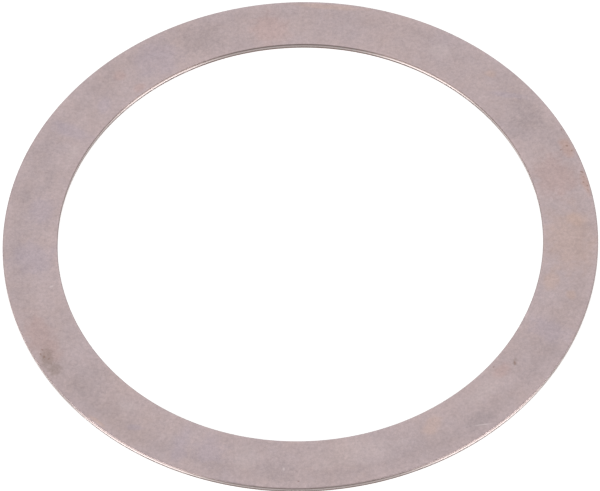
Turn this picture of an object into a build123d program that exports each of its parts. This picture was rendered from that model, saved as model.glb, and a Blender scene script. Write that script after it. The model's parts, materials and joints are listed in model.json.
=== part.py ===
from build123d import *
from math import atan2, degrees, radians, sin
import os

# Shim ring: one flat ring of cold-rolled steel strip, blanked in a compound die.
# Millimetres, +Z up. The origin is on the ring's axis, in the face that it lies on.
# The punch that pierces the bore and the die that blanks the rim both bite from the top,
# so both edges roll over at the top face and break out at the bottom face.

# Size by which the ring is ordered: 85 x 105 x 1.2
SHAFT_DIAMETER = 85.0  # nominal bore
BAND_WIDTH = 10.0  # nominal, from the shaft to the housing
THICKNESS = 1.2  # the strip that it is blanked from

# Where the die cut it, within the limits for a ring of this size
BORE_OVERSIZE = 0.35  # the bore is this much over the shaft, on diameter
RIM_UNDERSIZE = 0.35  # the rim is this much under the housing, on diameter

# Sheared edge at the bore, from the top face down
BORE_ROLL_WIDTH = 0.40  # how far in from the wall the top face starts to sink
BORE_ROLL_DEPTH = 0.10  # how far it sinks before the wall begins
BORE_LAND = 0.58  # height of the straight wall that the punch burnished
BORE_BREAKOUT = 0.08  # how far the torn wall opens below the land

# Sheared edge at the rim
RIM_ROLL_WIDTH = 0.60
RIM_ROLL_DEPTH = 0.12
RIM_LAND = 0.58
RIM_BREAKOUT = 0.08  # how far the torn wall draws in below the land

# Corners of both edges
NOSE_RADIUS = 0.04  # the tight turn from the roll-over into the land
DEBURR_RADIUS = 0.10  # the bottom corner, where tumbling took the burr off

housing_diameter = SHAFT_DIAMETER + 2 * BAND_WIDTH
bore_radius = (SHAFT_DIAMETER + BORE_OVERSIZE) / 2
rim_radius = (housing_diameter - RIM_UNDERSIZE) / 2


def roll_over(radius, away, width, depth):
    """Draw a wide arc that leaves the top face and a tight one that turns into the wall."""
    wide_turn = 2 * degrees(atan2(depth - NOSE_RADIUS, width - NOSE_RADIUS))
    wide_radius = NOSE_RADIUS + (width - NOSE_RADIUS) / sin(radians(wide_turn))
    start = (radius - away * width, THICKNESS)
    wide_arc = JernArc(start, (away, 0), wide_radius, -away * wide_turn)
    nose = JernArc(wide_arc @ 1, wide_arc % 1, NOSE_RADIUS, -away * (90 - wide_turn))
    return wide_arc @ 0, nose @ 1


def sheared_edge(radius, away, roll_width, roll_depth, land, breakout):
    """Draw one cut edge from the top face to the bottom, and give its two ends.

    away is +1 where the air is outside the wall, as at the rim, and -1 at the bore.
    """
    face_end, land_top = roll_over(radius, away, roll_width, roll_depth)
    land_foot = (radius, THICKNESS - roll_depth - land)
    wall_foot = (radius - away * breakout, 0)
    Polyline(land_top, land_foot, wall_foot)
    return face_end, wall_foot


def ring_section():
    """Draw the cut face of the ring: two flat faces between two sheared edges."""
    with BuildSketch(Plane.XZ) as section:
        with BuildLine():
            bore_top, bore_foot = sheared_edge(
                bore_radius,
                -1,
                BORE_ROLL_WIDTH,
                BORE_ROLL_DEPTH,
                BORE_LAND,
                BORE_BREAKOUT,
            )
            rim_top, rim_foot = sheared_edge(
                rim_radius,
                +1,
                RIM_ROLL_WIDTH,
                RIM_ROLL_DEPTH,
                RIM_LAND,
                RIM_BREAKOUT,
            )
            Line(bore_top, rim_top)
            Line(bore_foot, rim_foot)
        make_face()
        bottom_corners = section.vertices().group_by(Axis.Y)[0]
        fillet(bottom_corners, DEBURR_RADIUS)
    return section.sketch


shim_ring = revolve(ring_section(), Axis.Z)

os.makedirs("parts", exist_ok=True)
export_step(shim_ring, "parts/shim_ring.step")
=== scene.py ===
# %% [markdown]
# # A shim ring of cold-rolled steel
# A shim ring is a thin flat washer that takes up play between a shaft and its housing. The
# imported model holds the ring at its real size. This lesson gives it the surface that the real
# one has: a satin face that was rolled and tumbled, and two cut edges, each with a bright part
# that the tool rubbed smooth and a rough part where the steel tore.
#
# The model is loaded first, because every size below is read from it.

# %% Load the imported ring
import json
import math

import bmesh
import bpy
from mathutils import Matrix, Vector, noise


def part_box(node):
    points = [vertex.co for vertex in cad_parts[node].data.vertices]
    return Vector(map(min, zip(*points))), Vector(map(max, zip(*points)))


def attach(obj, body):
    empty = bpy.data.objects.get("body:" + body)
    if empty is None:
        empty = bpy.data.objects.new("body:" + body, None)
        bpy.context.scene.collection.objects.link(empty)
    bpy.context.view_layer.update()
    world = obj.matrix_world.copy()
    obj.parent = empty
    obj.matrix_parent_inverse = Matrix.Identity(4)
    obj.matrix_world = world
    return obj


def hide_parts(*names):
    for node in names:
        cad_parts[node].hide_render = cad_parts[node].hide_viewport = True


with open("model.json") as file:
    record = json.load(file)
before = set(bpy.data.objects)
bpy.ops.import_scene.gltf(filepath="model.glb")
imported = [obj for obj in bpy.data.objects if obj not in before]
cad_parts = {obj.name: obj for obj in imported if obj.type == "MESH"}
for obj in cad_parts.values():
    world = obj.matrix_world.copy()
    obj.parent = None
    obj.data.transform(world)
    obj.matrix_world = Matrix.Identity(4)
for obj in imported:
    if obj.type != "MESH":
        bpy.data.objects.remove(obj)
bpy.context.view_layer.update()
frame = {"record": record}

# %% [markdown]
# ## The sizes that the frame gives
# The record names the two cut walls as mounts: the bore that goes round a shaft and the rim
# that goes into a housing. Each mount's length is the height of the smooth part of its wall,
# and its place is the middle of that part. So the radii and the heights come from the record,
# and only the small shapes at the edges are written here.

# %% Read the ring's sizes
MM = 0.001
MERGE_DISTANCE = 0.001 * MM  # vertices closer than this are one

mounts = {mount["name"]: mount for mount in frame["record"]["mounts"]}
bore_radius = mounts["bore"]["dims"]["r_mm"] * MM
rim_radius = mounts["rim"]["dims"]["r_mm"] * MM
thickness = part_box("shim_ring")[1].z


def land_heights(mount):
    """Give the lower and the upper end of a wall's smooth part."""
    half_length = mount["dims"]["length_mm"] * MM / 2
    middle = mount["pos_m"][2]
    return middle - half_length, middle + half_length


bore_land_foot, bore_land_top = land_heights(mounts["bore"])
rim_land_foot, rim_land_top = land_heights(mounts["rim"])
print("bore and rim radius, mm:", round(bore_radius / MM, 3), round(rim_radius / MM, 3))
print("thickness, mm:", round(thickness / MM, 3))

# %% [markdown]
# ## Draw the cut section
# The ring is the same all the way round, so it is drawn once as a section and then spun. It
# could be a cylinder with bevels, but a blanked edge isn't a bevel: the tool first drags the
# face down in a roll-over, then cuts a straight wall, then the last of the steel tears. The
# roll-over is as deep as the solid's but drawn narrower, which keeps the face flat and bright
# to within a fifth of a millimetre of the wall. The other small sizes are the solid's own.
# Two small helpers act as a pencil. One pulls the last vertex along a straight line, and one
# swings it about a centre, which keeps each arc round and tangent to its neighbours.

# %% A pencil for the section
NOSE_RADIUS = 0.04 * MM  # the tight turn from the roll-over into the wall
DEBURR_RADIUS = 0.10 * MM  # the bottom corner, where tumbling took the burr off
BORE_ROLL_WIDTH = 0.18 * MM  # how far from the wall the face starts to sink
RIM_ROLL_WIDTH = 0.18 * MM
BORE_BREAKOUT = 0.08 * MM  # how far the torn wall slants by the time it reaches the bottom
RIM_BREAKOUT = 0.08 * MM
print("nose and bottom corner, mm:", round(NOSE_RADIUS / MM, 2), round(DEBURR_RADIUS / MM, 2))

section = bmesh.new()


def draw_line(tip, x, z, parts=1):
    """Pull the tip along a straight line to a point of the section, in equal parts."""
    start = tip.co.copy()
    end = Vector((x, 0, z))
    for part in range(1, parts + 1):
        pulled = bmesh.ops.extrude_vert_indiv(section, verts=[tip])
        tip = pulled["verts"][0]
        tip.co = start.lerp(end, part / parts)
    return tip


def draw_arc(tip, x, z, turn, parts):
    """Swing the tip clockwise about a centre of the section, by turn, in radians."""
    swung = bmesh.ops.spin(
        section,
        geom=[tip],
        cent=(x, 0, z),
        axis=(0, 1, 0),
        angle=turn,
        steps=parts,
    )
    return [item for item in swung["geom_last"] if isinstance(item, bmesh.types.BMVert)][0]


# %% [markdown]
# ## The roll-over and the torn foot
# A roll-over is two arcs that meet smoothly: a wide one that leaves the flat face and a tight
# one, the nose, that turns into the wall. Given its width and depth, there is one pair of arcs
# that fits, and the first function works out the wide one. The torn wall slants away from the
# land below it, and tumbling has rounded the corner where it meets the bottom face.

# %% Work out the arcs
def wide_arc_of(width, depth):
    """Give the angle and the radius of a roll-over's wide arc."""
    turn = 2 * math.atan2(depth - NOSE_RADIUS, width - NOSE_RADIUS)
    radius = NOSE_RADIUS + (width - NOSE_RADIUS) / math.sin(turn)
    return turn, radius


def torn_foot_of(land_foot, breakout):
    """Give the turn of the rounded bottom corner, and how far the arc's ends lie from it."""
    turn = math.pi / 2 - math.atan2(breakout, land_foot)
    return turn, DEBURR_RADIUS * math.tan(turn / 2)


bore_roll_turn, bore_roll_radius = wide_arc_of(BORE_ROLL_WIDTH, thickness - bore_land_top)
rim_roll_turn, rim_roll_radius = wide_arc_of(RIM_ROLL_WIDTH, thickness - rim_land_top)
bore_corner_turn, bore_corner_reach = torn_foot_of(bore_land_foot, BORE_BREAKOUT)
rim_corner_turn, rim_corner_reach = torn_foot_of(rim_land_foot, RIM_BREAKOUT)
print("roll-over arcs, mm:", round(bore_roll_radius / MM, 2), round(rim_roll_radius / MM, 2))

# %% [markdown]
# ## Trace the outline, clockwise
# The pencil starts where the top face meets the bore's roll-over, goes out across the face,
# down the rim, back along the bottom and up the bore. The flat faces get several rings of
# vertices, so that smooth shading bends only at the very edge and the faces stay flat.

# %% Trace the section
FACE_PARTS = 12
ROLL_PARTS = 8
NOSE_PARTS = 4
LAND_PARTS = 4
TORN_PARTS = 5
CORNER_PARTS = 4

bore_face_end = bore_radius + BORE_ROLL_WIDTH
rim_face_end = rim_radius - RIM_ROLL_WIDTH
bore_corner = bore_radius + BORE_BREAKOUT
rim_corner = rim_radius - RIM_BREAKOUT

first = section.verts.new((bore_face_end, 0, thickness))
tip = draw_line(first, rim_face_end, thickness, FACE_PARTS)

# Down the rim
tip = draw_arc(tip, rim_face_end, thickness - rim_roll_radius, rim_roll_turn, ROLL_PARTS)
tip = draw_arc(
    tip, rim_radius - NOSE_RADIUS, rim_land_top, math.pi / 2 - rim_roll_turn, NOSE_PARTS
)
tip = draw_line(tip, rim_radius, rim_land_foot, LAND_PARTS)
lean = Vector((rim_radius - rim_corner, 0, rim_land_foot)).normalized() * rim_corner_reach
tip = draw_line(tip, rim_corner + lean.x, lean.z, TORN_PARTS)
tip = draw_arc(tip, rim_corner - rim_corner_reach, DEBURR_RADIUS, rim_corner_turn, CORNER_PARTS)

# Back along the bottom
tip = draw_line(tip, bore_corner + bore_corner_reach, 0, FACE_PARTS // 2)

# Up the bore
tip = draw_arc(
    tip, bore_corner + bore_corner_reach, DEBURR_RADIUS, bore_corner_turn, CORNER_PARTS
)
tip = draw_line(tip, bore_radius, bore_land_foot, TORN_PARTS)
tip = draw_line(tip, bore_radius, bore_land_top, LAND_PARTS)
tip = draw_arc(
    tip, bore_radius + NOSE_RADIUS, bore_land_top, math.pi / 2 - bore_roll_turn, NOSE_PARTS
)
tip = draw_arc(tip, bore_face_end, thickness - bore_roll_radius, bore_roll_turn, ROLL_PARTS)
print("outline closes within, mm:", round((tip.co - first.co).length / MM, 6))
bmesh.ops.remove_doubles(section, verts=section.verts, dist=MERGE_DISTANCE)
print("section vertices:", len(section.verts))

# %% [markdown]
# ## Spin the section into a ring
# A spin about the ring's axis makes the body. One spin of 1200 steps would do it, but it slows
# down as the mesh grows. So a first spin makes one sector of the ring, and a second one copies
# that sector round. The copies only touch, so doubles are merged to close the skin, and the
# normals are worked out again after that, because a spin can leave a shape inside out.

# %% Spin the ring
SECTORS = 40
STEPS_IN_SECTOR = 30

bmesh.ops.spin(
    section,
    geom=section.verts[:] + section.edges[:],
    cent=(0, 0, 0),
    axis=(0, 0, 1),
    angle=2 * math.pi / SECTORS,
    steps=STEPS_IN_SECTOR,
)
bmesh.ops.spin(
    section,
    geom=section.verts[:] + section.edges[:] + section.faces[:],
    cent=(0, 0, 0),
    axis=(0, 0, 1),
    angle=2 * math.pi * (SECTORS - 1) / SECTORS,
    steps=SECTORS - 1,
    use_duplicate=True,
)
bmesh.ops.remove_doubles(section, verts=section.verts, dist=MERGE_DISTANCE)
bmesh.ops.recalc_face_normals(section, faces=section.faces)
print("open edges:", sum(1 for edge in section.edges if not edge.is_manifold))

# %% [markdown]
# ## Sort the skin into finishes
# Three finishes meet on this ring: the satin face, the burnished land on each wall, and the
# torn wall under it. A face of the mesh belongs to one of them by where it lies, so the sorting
# is done by its middle's height and by its distance from the axis. Steel
# starts to tear along a crisp line, so the edges between land and torn wall are marked sharp.

# %% Sort faces by finish
SATIN, LAND, TORN = 0, 1, 2
FLAT_BOTTOM = 0.01 * MM  # below this height the skin belongs to the satin bottom face


def finish_at(point):
    """Tell which finish the skin has at a point."""
    distance = math.hypot(point.x, point.y)
    on_bore = distance < bore_corner
    on_rim = distance > rim_corner
    land_foot = bore_land_foot if on_bore else rim_land_foot
    if not (on_bore or on_rim) or point.z < FLAT_BOTTOM:
        return SATIN
    if point.z < land_foot:
        return TORN
    land_top = bore_land_top if on_bore else rim_land_top
    return LAND if point.z < land_top + NOSE_RADIUS else SATIN


for face in section.faces:
    face.smooth = True
    face.material_index = finish_at(face.calc_center_median())

for edge in section.edges:
    if {face.material_index for face in edge.link_faces} == {LAND, TORN}:
        edge.smooth = False

counts = [sum(1 for face in section.faces if face.material_index == kind) for kind in range(3)]
print("faces in satin, land, torn:", counts)

# %% [markdown]
# ## Tear the lower walls
# Where the punch stops cutting, the crack runs ahead by itself, so the line between the land
# and the torn wall wanders up and down, and the torn wall is pitted. Both could be faked with
# bump, but then the line would stay perfectly straight. Here the vertices themselves move: up
# or down on the line, and into the steel below it. Nothing moves outward, so the ring keeps
# its size. The noise has no seed to set and gives the same wall every time.

# %% Roughen the torn walls
WANDER = 0.03 * MM  # how far the line strays from its height
WANDER_LENGTH = 3.0 * MM  # from one crest of the line to the next
FINE_WANDER_LENGTH = WANDER_LENGTH / 4
FINE_WANDER_SHARE = 0.5  # how much of the broad wander's height the fine one has
PIT_DEPTH = 0.02 * MM
PIT_SPACING = 0.45 * MM


def is_on(vertex, kind):
    """Tell whether any face round a vertex has a finish."""
    return any(face.material_index == kind for face in vertex.link_faces)


crack_line = [v for v in section.verts if is_on(v, LAND) and is_on(v, TORN)]
torn_inside = [v for v in section.verts if all(f.material_index == TORN for f in v.link_faces)]

for vertex in crack_line:
    broad = noise.noise(vertex.co / WANDER_LENGTH)
    fine = noise.noise(vertex.co / FINE_WANDER_LENGTH)
    vertex.co.z += WANDER * (broad + FINE_WANDER_SHARE * fine)

for vertex in torn_inside:
    into_steel = Vector((vertex.co.x, vertex.co.y, 0)).normalized()
    if vertex.co.length > (bore_radius + rim_radius) / 2:
        into_steel = -into_steel
    pit = 0.5 + 0.5 * noise.noise(vertex.co / PIT_SPACING)
    vertex.co += into_steel * PIT_DEPTH * pit

ring_mesh = bpy.data.meshes.new("shim_ring_finished")
section.normal_update()
section.to_mesh(ring_mesh)
section.free()
ring = bpy.data.objects.new("shim_ring_finished", ring_mesh)
bpy.context.scene.collection.objects.link(ring)
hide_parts("shim_ring")
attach(ring, "root")
print("triangles:", sum(len(face.vertices) - 2 for face in ring_mesh.polygons))

# %% [markdown]
# ## Three helpers for materials
# Colours are written as hex values, which are sRGB, but a shader works in linear light, so the
# first function converts them. The second adds a node, sets it up and links it, which keeps
# each material short enough to read. The third starts an empty material.

# %% Colour and node helpers
def linear_colour(hex_value):
    """Turn a hex sRGB colour into the linear colour that a socket takes."""
    channels = [int(hex_value[start : start + 2], 16) / 255 for start in (1, 3, 5)]
    linear = [
        value / 12.92 if value <= 0.04045 else ((value + 0.055) / 1.055) ** 2.4
        for value in channels
    ]
    return (*linear, 1)


def add_node(tree, kind, settings=None, inputs=None):
    """Add a node, set its settings, and fill or link its inputs by name or number."""
    node = tree.nodes.new(kind)
    for name, value in (settings or {}).items():
        setattr(node, name, value)
    for name, value in (inputs or {}).items():
        socket = node.inputs[name]
        if isinstance(value, bpy.types.NodeSocket):
            tree.links.new(value, socket)
        else:
            socket.default_value = value
    return node


def new_material(name):
    """Make an empty node material with its output node."""
    material = bpy.data.materials.new(name)
    material.use_nodes = True
    material.node_tree.nodes.clear()
    output = add_node(material.node_tree, "ShaderNodeOutputMaterial")
    return material, material.node_tree, output


print("middle grey in linear light:", round(linear_colour("#808080")[0], 3))


# %% [markdown]
# ## The satin face
# This is the skin of cold-rolled strip after tumbling. The rolls press it flat and leave it
# matte, and tumbling with stones clouds it evenly. The eye sees a soft clouding at every size,
# from a centimetre down to the grain, so one noise carries seven octaves of equal strength. A
# second, slower noise tints the steel warmer or cooler, as handling and thin oil do.

# %% Satin steel, the clouds
CLOUD_SIZE = 9.5 * MM  # the largest clouds; the finest are 64 times smaller
TINT_SIZE = 12.0 * MM  # from one warm cloud to the next
GRAIN_SIZE = 0.5 * MM  # tumbling marks are finer still, but these are what the eye can catch
GRAIN_CONTRAST = 0.5
CLOUD_CONTRAST = 0.55  # the spread of shades over the whole range of the noise
SATIN_ROUGHNESS = 0.45

satin, tree, output = new_material("satin cold-rolled steel, tumbled")
place = add_node(tree, "ShaderNodeTexCoord").outputs["Object"]

clouds = add_node(
    tree,
    "ShaderNodeTexNoise",
    inputs={"Vector": place, "Scale": 1 / CLOUD_SIZE, "Detail": 6, "Roughness": 1.0},
).outputs["Fac"]
tints = add_node(
    tree,
    "ShaderNodeTexNoise",
    inputs={"Vector": place, "Scale": 1 / TINT_SIZE, "Detail": 4, "Roughness": 0.8},
).outputs["Fac"]
tint_share = add_node(
    tree, "ShaderNodeMapRange", inputs={"Value": tints, "From Min": 0.25, "From Max": 0.75}
).outputs["Result"]
colour = add_node(
    tree,
    "ShaderNodeMix",
    {"data_type": "RGBA"},
    {0: tint_share, 6: linear_colour("#B9AAAD"), 7: linear_colour("#BDAAA8")},
).outputs[2]

print("nodes in the clouds and tints:", len(tree.nodes))

# %% [markdown]
# ## What handling left on the face
# Handling and storage leave their traces. Tan films like dried oil lie on the right, thin grey
# and violet patches cross the rest, and a few specks of rust sit near the rim. Each mark could be painted
# on a picture, but a picture stretches and blurs. Here a mark is a soft spot in the steel: a
# Mapping node squeezes space round its centre, so that its edge lies at a distance of one, and
# noise breaks that edge up. A spot is thin in height, so it marks the top face and no other.

# %% Marks on the top face
band = rim_radius - bore_radius
EDGE_NOISE_SIZE = 2.0 * MM
SPOT_HEIGHT = 0.5 * MM
RAGGEDNESS = 0.9  # how far noise shifts a mark's edge, where 1 is the mark's own half-width
FULL_WITHIN = 0.4  # a mark is at full strength within this reach
GONE_BEYOND = 1.3  # and nothing is left of it beyond this one

edge_noise = add_node(
    tree,
    "ShaderNodeTexNoise",
    inputs={"Vector": place, "Scale": 1 / EDGE_NOISE_SIZE, "Detail": 4, "Roughness": 0.7},
).outputs["Fac"]
ragged = add_node(
    tree,
    "ShaderNodeMapRange",
    inputs={"Value": edge_noise, "To Min": -RAGGEDNESS, "To Max": RAGGEDNESS},
).outputs["Result"]


def mark_spot(colour, azimuth, share, length, width, turn, stain, strength):
    """Lay a soft-edged mark on the face and give the new colour.

    The share says how far across the band it lies, from the bore. Its length runs round the
    ring, its width across the band, both in millimetres, and turn swings it, in degrees.
    """
    angle = math.radians(azimuth)
    distance = bore_radius + share * band
    near = add_node(
        tree,
        "ShaderNodeMapping",
        {"vector_type": "TEXTURE"},
        {
            "Vector": place,
            "Location": (distance * math.cos(angle), distance * math.sin(angle), thickness),
            "Rotation": (0, 0, angle + math.radians(turn)),
            "Scale": (width * MM / 2, length * MM / 2, SPOT_HEIGHT),
        },
    ).outputs["Vector"]
    reach = add_node(
        tree, "ShaderNodeVectorMath", {"operation": "LENGTH"}, {0: near}
    ).outputs["Value"]
    reach = add_node(tree, "ShaderNodeMath", {"operation": "ADD"}, {0: reach, 1: ragged}).outputs[0]
    cover = add_node(
        tree,
        "ShaderNodeMapRange",
        {"interpolation_type": "SMOOTHSTEP"},
        {
            "Value": reach,
            "From Min": FULL_WITHIN,
            "From Max": GONE_BEYOND,
            "To Min": strength,
            "To Max": 0.0,
        },
    ).outputs["Result"]
    return add_node(
        tree,
        "ShaderNodeMix",
        {"data_type": "RGBA"},
        {0: cover, 6: colour, 7: linear_colour(stain)},
    ).outputs[2]


# Each mark has an azimuth, a share of the band, a length, a width and a turn.
# Dried oil
DRIED_OIL = (
    (357, 0.50, 15, 9, 0),
    (346, 0.25, 5, 3, 0),
    (343, 0.65, 1.8, 1.8, 0),
    (2, 0.60, 3, 3, 0),
    (44.5, 0.68, 2.6, 2.0, 30),
    (82, 0.90, 13, 1.2, 0),
    (226, 0.94, 4, 0.8, 0),
    (298, 0.32, 5, 3, 30),
)

# Warm, pinkish films
WARM_FILMS = (
    (95, 0.40, 7, 8, 0),
    (203, 0.70, 11, 5, 0),
    (130, 0.62, 2.5, 2.5, 0),
    (129, 0.15, 2.5, 2, 0),
    (319, 0.25, 4, 2.4, 0),
    (14, 0.45, 10, 8, 0),
)

# Violet-grey patches
VIOLET_PATCHES = (
    (121, 0.50, 9, 8, 0),
    (138, 0.35, 4, 3, 30),
    (148, 0.50, 3, 8, 0),
    (170, 0.35, 7, 5, 0),
    (183, 0.45, 7, 8, 0),
    (37.5, 0.60, 8, 1.4, 40),
    (232.5, 0.62, 3, 1.2, 30),
    (243, 0.55, 3, 8, 10),
    (249, 0.45, 6, 7, 0),
    (333, 0.50, 5, 8, 0),
)

# Dull grey patches
GREY_PATCHES = (
    (29, 0.25, 6, 4, 0),
    (32, 0.60, 8, 5, 0),
    (111, 0.50, 9, 6, 0),
    (162, 0.40, 5, 2, 0),
    (167, 0.68, 3, 2, 0),
    (307, 0.72, 7, 3, 0),
    (217, 0.50, 8, 7, 0),
    (264, 0.65, 7, 5, 0),
)

# Patches rubbed light
RUBBED_PATCHES = (
    (56.5, 0.55, 4, 3, 20),
    (153.5, 0.18, 5, 2, 0),
    (257, 0.45, 5, 5, 0),
    (280, 0.35, 16, 6, 0),
    (228, 0.35, 4, 2, 30),
    (312, 0.30, 8, 3, 0),
)

# Smudges of old grease, faint and greenish brown
SMUDGES = (
    (208, 0.82, 4.5, 2.2, -20),
    (211, 0.80, 2.5, 2.5, 0),
    (322.5, 0.33, 2.0, 1.0, 30),
)

# Rusty blooms near the rim
RUSTY_BLOOMS = (
    (10.5, 0.93, 5, 1.4, 0),
    (20, 0.86, 5, 2.2, 0),
)

# Specks of rust, in the blooms, in the smudges and by themselves
RUST_SPECKS = (
    (13.5, 0.93, 0.9, 0.3, 40),
    (12.2, 0.93, 0.5, 0.3, 60),
    (11, 0.90, 0.4, 0.3, 0),
    (10, 0.95, 0.5, 0.3, 20),
    (9, 0.93, 0.5, 0.3, 50),
    (20.5, 0.88, 0.5, 0.4, 60),
    (19.0, 0.92, 0.4, 0.3, 30),
    (20, 0.74, 0.3, 0.5, 0),
    (24.5, 0.95, 0.6, 0.3, 0),
    (205.6, 0.80, 0.5, 0.4, 20),
    (206.4, 0.87, 0.5, 0.3, 0),
    (207.3, 0.84, 0.4, 0.6, 40),
    (208.2, 0.79, 0.3, 0.4, 0),
    (322.2, 0.34, 0.9, 0.3, 40),
    (318.5, 0.09, 0.5, 0.3, 0),
    (268, 0.85, 0.4, 0.3, 0),
)

# Two bright nicks and a scratch
NICKS_AND_SCRATCH = (
    (191, 0.20, 0.4, 1.0, 10),
    (265, 0.60, 0.4, 0.7, 0),
    (306.5, 0.82, 0.25, 3.2, 60),
)

# The kinds of mark in the order in which they are laid, each with its colour and its strength
MARKS = (
    (DRIED_OIL, "#CDB0A2", 0.34),
    (WARM_FILMS, "#C0A5A1", 0.5),
    (VIOLET_PATCHES, "#B2A6B3", 0.32),
    (GREY_PATCHES, "#A5989A", 0.3),
    (RUBBED_PATCHES, "#CBBCBC", 0.3),
    (SMUDGES, "#96857C", 0.4),
    (RUSTY_BLOOMS, "#C29C8C", 0.4),
    (RUST_SPECKS, "#80604F", 0.45),
    (NICKS_AND_SCRATCH, "#E2D6D6", 0.45),
)
for places, stain, strength in MARKS:
    for azimuth, share, length, width, turn in places:
        colour = mark_spot(colour, azimuth, share, length, width, turn, stain, strength)
print("marks on the top face:", sum(len(places) for places, stain, strength in MARKS))

# %% [markdown]
# ## Tone and painted highlight across the band
# Tumbling stones reach the edges of a flat ring more easily than its middle, so the face is
# brighter close to its edges. Part of that brightness is a painted highlight, for the light that a
# wider curve of the face into the roll-over would catch there. The face is dullest in a ring nearly
# three quarters of the way out. A ramp on the distance from the axis carries that tone and that painted
# highlight.

# %% Tone, painted edge highlight and finish of the satin steel
split = add_node(tree, "ShaderNodeSeparateXYZ", inputs={0: place}).outputs
flat_place = add_node(
    tree, "ShaderNodeCombineXYZ", inputs={0: split["X"], 1: split["Y"]}
).outputs["Vector"]
distance = add_node(
    tree, "ShaderNodeVectorMath", {"operation": "LENGTH"}, {0: flat_place}
).outputs["Value"]
across = add_node(
    tree,
    "ShaderNodeMapRange",
    inputs={"Value": distance, "From Min": bore_radius, "From Max": rim_radius},
).outputs["Result"]
tone_with_edge_highlight = add_node(tree, "ShaderNodeValToRGB", inputs={"Fac": across})
# Share of the band, then the shade there against the middle's; a ramp holds nothing above 1
BRIGHTEST = 1.1
# the raised values at both ends are partly a painted highlight along the edges
TONES_WITH_EDGE_HIGHLIGHT = ((0.0, 1.08), (0.06, 1.02), (0.25, 1.0), (0.45, 1.0))
TONES_WITH_EDGE_HIGHLIGHT += ((0.72, 0.95), (0.86, 0.99), (0.95, 1.02), (1.0, 1.05))
stops = tone_with_edge_highlight.color_ramp.elements
while len(stops) < len(TONES_WITH_EDGE_HIGHLIGHT):
    stops.new(0.5)
for stop, (share, value) in zip(stops, TONES_WITH_EDGE_HIGHLIGHT):
    stop.position = share
    stop.color = (value / BRIGHTEST, value / BRIGHTEST, value / BRIGHTEST, 1)

shade = add_node(
    tree,
    "ShaderNodeMapRange",
    inputs={
        "Value": clouds,
        "To Min": (1 - CLOUD_CONTRAST / 2) * BRIGHTEST,
        "To Max": (1 + CLOUD_CONTRAST / 2) * BRIGHTEST,
    },
).outputs["Result"]
shade = add_node(
    tree, "ShaderNodeMath", {"operation": "MULTIPLY"}, {0: shade, 1: tone_with_edge_highlight.outputs["Color"]}
).outputs[0]
grain = add_node(
    tree,
    "ShaderNodeTexNoise",
    inputs={"Vector": place, "Scale": 1 / GRAIN_SIZE, "Detail": 2, "Roughness": 0.9},
).outputs["Fac"]
grain = add_node(
    tree,
    "ShaderNodeMapRange",
    inputs={
        "Value": grain,
        "To Min": 1 - GRAIN_CONTRAST / 2,
        "To Max": 1 + GRAIN_CONTRAST / 2,
    },
).outputs["Result"]
shade = add_node(tree, "ShaderNodeMath", {"operation": "MULTIPLY"}, {0: shade, 1: grain}).outputs[0]
colour = add_node(
    tree, "ShaderNodeVectorMath", {"operation": "SCALE"}, {0: colour, "Scale": shade}
).outputs[0]
shader = add_node(
    tree,
    "ShaderNodeBsdfPrincipled",
    inputs={"Base Color": colour, "Metallic": 1.0, "Roughness": SATIN_ROUGHNESS},
)
tree.links.new(shader.outputs["BSDF"], output.inputs["Surface"])
print("nodes in the satin steel:", len(tree.nodes))

# %% [markdown]
# ## The burnished land
# As the tool passes, it rubs this part of the wall against its own side and leaves fine score
# lines along its travel, straight up the wall. Lines like these stretch every reflection along
# themselves, so a lamp that stands low shows as a bright band the whole height of the land.
# Drawing each line would need a far finer mesh. An anisotropic metal does it, with its tangent
# round the axis and a quarter turn to bring the stretch upright. The land is painted darker at
# its top, a painted shade for the dark line that this part of the wall shows, and a coarse noise
# that runs straight up the wall stands for the deepest of the lines.

# %% Burnished steel
# painted shade: the land's colour is darker towards its top, between these two depths
TOP_SHADE_DEPTH = 0.5 * MM  # from the top face to where the land is at its brightest
TOP_SHADE_START = 0.08 * MM  # from the top face to where it is at its dullest
SCORE_SPACING = 0.4 * MM  # coarser than real score lines, which are too fine to be seen
SCORE_CONTRAST = 0.14
LAND_ROUGHNESS = 0.5
QUARTER_TURN = 0.25  # brings the stretch from round the ring to upright

burnished, tree, output = new_material("steel burnished by the punch and die")
place = add_node(tree, "ShaderNodeTexCoord").outputs["Object"]
split = add_node(tree, "ShaderNodeSeparateXYZ", inputs={0: place}).outputs
flat_place = add_node(
    tree, "ShaderNodeCombineXYZ", inputs={0: split["X"], 1: split["Y"]}
).outputs["Vector"]
painted_top_shade = add_node(
    tree,
    "ShaderNodeMapRange",
    {"interpolation_type": "SMOOTHSTEP"},
    {"Value": split["Z"], "From Min": thickness - TOP_SHADE_DEPTH, "From Max": thickness - TOP_SHADE_START},
).outputs["Result"]
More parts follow.
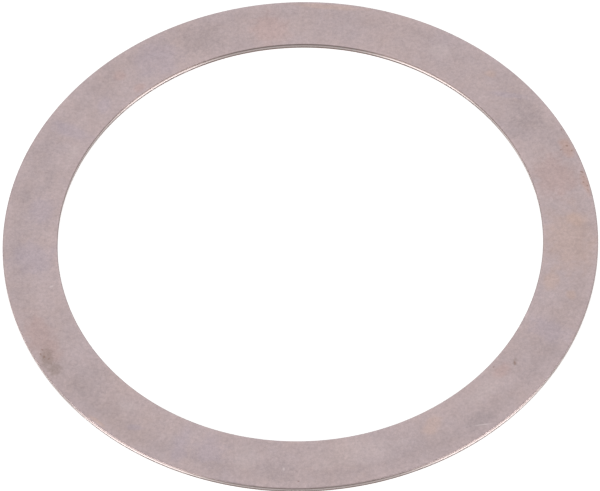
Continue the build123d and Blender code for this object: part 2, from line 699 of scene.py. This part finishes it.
# painted shade: the colour goes from light at the middle of the land to dark at its top
colour = add_node(
    tree,
    "ShaderNodeMix",
    {"data_type": "RGBA"},
    {0: painted_top_shade, 6: linear_colour("#D8CCCA"), 7: linear_colour("#8C7872")},
).outputs[2]
scores = add_node(
    tree,
    "ShaderNodeTexNoise",
    inputs={"Vector": flat_place, "Scale": 1 / SCORE_SPACING, "Detail": 2},
).outputs["Fac"]
scores = add_node(
    tree,
    "ShaderNodeMapRange",
    inputs={
        "Value": scores,
        "To Min": 1 - SCORE_CONTRAST / 2,
        "To Max": 1 + SCORE_CONTRAST / 2,
    },
).outputs["Result"]
colour = add_node(
    tree, "ShaderNodeVectorMath", {"operation": "SCALE"}, {0: colour, "Scale": scores}
).outputs[0]
round_the_axis = add_node(
    tree, "ShaderNodeTangent", {"direction_type": "RADIAL", "axis": "Z"}
).outputs["Tangent"]
shader = add_node(
    tree,
    "ShaderNodeBsdfPrincipled",
    inputs={
        "Base Color": colour,
        "Metallic": 1.0,
        "Roughness": LAND_ROUGHNESS,
        "Anisotropic": 1.0,
        "Anisotropic Rotation": QUARTER_TURN,
        "Tangent": round_the_axis,
    },
)
tree.links.new(shader.outputs["BSDF"], output.inputs["Surface"])

print("nodes in the burnished steel:", len(tree.nodes))

# %% [markdown]
# ## The torn wall
# Steel that cracks instead of being cut is left grainy and dull. It scatters what light it gets,
# and its colour is darker still, a painted shade for the shadow where the wall meets the floor,
# so it reads as a dark line under the bright land. A noise of the size of the pits makes it uneven.

# %% Torn steel
TORN_ROUGHNESS = 0.6

torn, tree, output = new_material("torn steel with painted shade at its foot")
place = add_node(tree, "ShaderNodeTexCoord").outputs["Object"]
grain = add_node(
    tree,
    "ShaderNodeTexNoise",
    inputs={"Vector": place, "Scale": 1 / PIT_SPACING, "Detail": 3},
).outputs["Fac"]
# painted shade: these dark colours also stand for the shadow where the wall meets the floor
colour = add_node(
    tree,
    "ShaderNodeMix",
    {"data_type": "RGBA"},
    {0: grain, 6: linear_colour("#6C5C57"), 7: linear_colour("#8C7B75")},
).outputs[2]
shader = add_node(
    tree,
    "ShaderNodeBsdfPrincipled",
    inputs={"Base Color": colour, "Metallic": 1.0, "Roughness": TORN_ROUGHNESS},
)
tree.links.new(shader.outputs["BSDF"], output.inputs["Surface"])

for finish in (satin, burnished, torn):
    ring_mesh.materials.append(finish)
print("finishes:", [finish.name for finish in ring_mesh.materials])

# %% [markdown]
# ## The floor
# The ring lies on a sheet that shows as white paper. Its own colour is a light grey, and a
# glow that only the camera and reflections see lifts it to white, so that the lamps don't have
# to be turned up on the ring. The glow leaves the ring's shadow on it, but makes it faint.

# %% White paper floor
FLOOR_SIZE = 4.0
FLOOR_GAP = 0.002 * MM  # keeps the floor and the bottom face from sharing a plane
PAPER_COLOUR = (0.55, 0.55, 0.55, 1)
PAPER_GLOW = 0.72

floor_shape = bmesh.new()
bmesh.ops.create_grid(floor_shape, x_segments=1, y_segments=1, size=FLOOR_SIZE / 2)
floor_mesh = bpy.data.meshes.new("floor")
floor_shape.to_mesh(floor_mesh)
floor_shape.free()
floor = bpy.data.objects.new("floor", floor_mesh)
bpy.context.scene.collection.objects.link(floor)
floor.location.z = -FLOOR_GAP

paper, tree, output = new_material("matte white paper")
rays = add_node(tree, "ShaderNodeLightPath").outputs
seen = add_node(
    tree,
    "ShaderNodeMath",
    {"operation": "MAXIMUM"},
    {0: rays["Is Camera Ray"], 1: rays["Is Glossy Ray"]},
).outputs[0]
seen = add_node(
    tree, "ShaderNodeMath", {"operation": "MAXIMUM"}, {0: seen, 1: rays["Is Transmission Ray"]}
).outputs[0]
glow = add_node(
    tree, "ShaderNodeMath", {"operation": "MULTIPLY"}, {0: seen, 1: PAPER_GLOW}
).outputs[0]
shader = add_node(
    tree,
    "ShaderNodeBsdfPrincipled",
    inputs={
        "Base Color": PAPER_COLOUR,
        "Roughness": 1.0,
        "Specular IOR Level": 0.0,
        "Emission Color": (1, 1, 1, 1),
        "Emission Strength": glow,
    },
)
tree.links.new(shader.outputs["BSDF"], output.inputs["Surface"])
floor_mesh.materials.append(paper)
print("floor, metres across:", FLOOR_SIZE)

# %% [markdown]
# ## Studio light
# A pale room surrounds the ring, and one large softbox hangs behind it, where the flat face
# mirrors it towards the camera. Two bright softboxes stand low in front, to the left and the
# right, and two dimmer ones low at the sides. Those four only skim the face, but each of them
# lights the stretch of wall that turns towards it. Brightness is given as radiance, where 1
# shows as plain white, and turned into watts by the area of the lamp.

# %% Room and softboxes
ROOM_BRIGHTNESS = 0.45

room = bpy.data.worlds.new("pale room")
bpy.context.scene.world = room
room.use_nodes = True
room.node_tree.nodes["Background"].inputs["Color"].default_value = (1, 1, 1, 1)
room.node_tree.nodes["Background"].inputs["Strength"].default_value = ROOM_BRIGHTNESS


def hang_softbox(name, azimuth, elevation, distance, width, height, radiance):
    """Hang a softbox that looks at the ring. Angles are in degrees, azimuth from +X."""
    turn = math.radians(azimuth)
    rise = math.radians(elevation)
    away = Vector(
        (math.cos(turn) * math.cos(rise), math.sin(turn) * math.cos(rise), math.sin(rise))
    )
    lamp = bpy.data.lights.new(name, "AREA")
    lamp.shape = "RECTANGLE"
    lamp.size = width
    lamp.size_y = height
    lamp.energy = radiance * math.pi * width * height
    softbox = bpy.data.objects.new(name, lamp)
    bpy.context.scene.collection.objects.link(softbox)
    softbox.location = away * distance
    softbox.rotation_euler = away.to_track_quat("Z", "Y").to_euler()
    softbox.visible_camera = False


hang_softbox("back softbox", 90, 55, 1.6, 1.6, 1.6, 0.715)
hang_softbox("left side softbox", 168, 18, 1.5, 1.0, 0.5, 2.2)
hang_softbox("right side softbox", 12, 18, 1.5, 1.0, 0.5, 0.9)
hang_softbox("left softbox", 216, 12, 1.5, 1.05, 0.5, 9.5)
hang_softbox("right softbox", 325, 12, 1.5, 1.05, 0.5, 9)
print("lamps:", [lamp.name for lamp in bpy.data.lights])

# %% [markdown]
# ## The camera
# The ring is seen from well above its near edge with a long lens, so its circles become even
# ellipses. The camera leans a little to one side, and it aims just in front of the middle.

# %% Place the camera
CAMERA_ELEVATION = math.radians(54.8)
CAMERA_LEAN = math.radians(2.085)
CAMERA_DISTANCE = 18.92 * rim_radius
LENS = 338
AIM_RIGHT = -0.0003 * rim_radius
AIM_DOWN = 0.0262 * rim_radius

back = Vector((0, -math.cos(CAMERA_ELEVATION), math.sin(CAMERA_ELEVATION)))
level_right = Vector((1, 0, 0))
level_up = back.cross(level_right)
right = level_right * math.cos(CAMERA_LEAN) - level_up * math.sin(CAMERA_LEAN)
up = level_right * math.sin(CAMERA_LEAN) + level_up * math.cos(CAMERA_LEAN)
aim = Vector((0, 0, thickness)) + right * AIM_RIGHT - up * AIM_DOWN

camera_data = bpy.data.cameras.new("camera")
camera_data.lens = LENS
camera = bpy.data.objects.new("camera", camera_data)
bpy.context.scene.collection.objects.link(camera)
turned = Matrix((right, up, back)).transposed()
camera.matrix_world = Matrix.Translation(aim + back * CAMERA_DISTANCE) @ turned.to_4x4()
bpy.context.scene.camera = camera
bpy.context.scene.view_settings.view_transform = "Standard"
print("camera's distance, metres:", round(CAMERA_DISTANCE, 2))
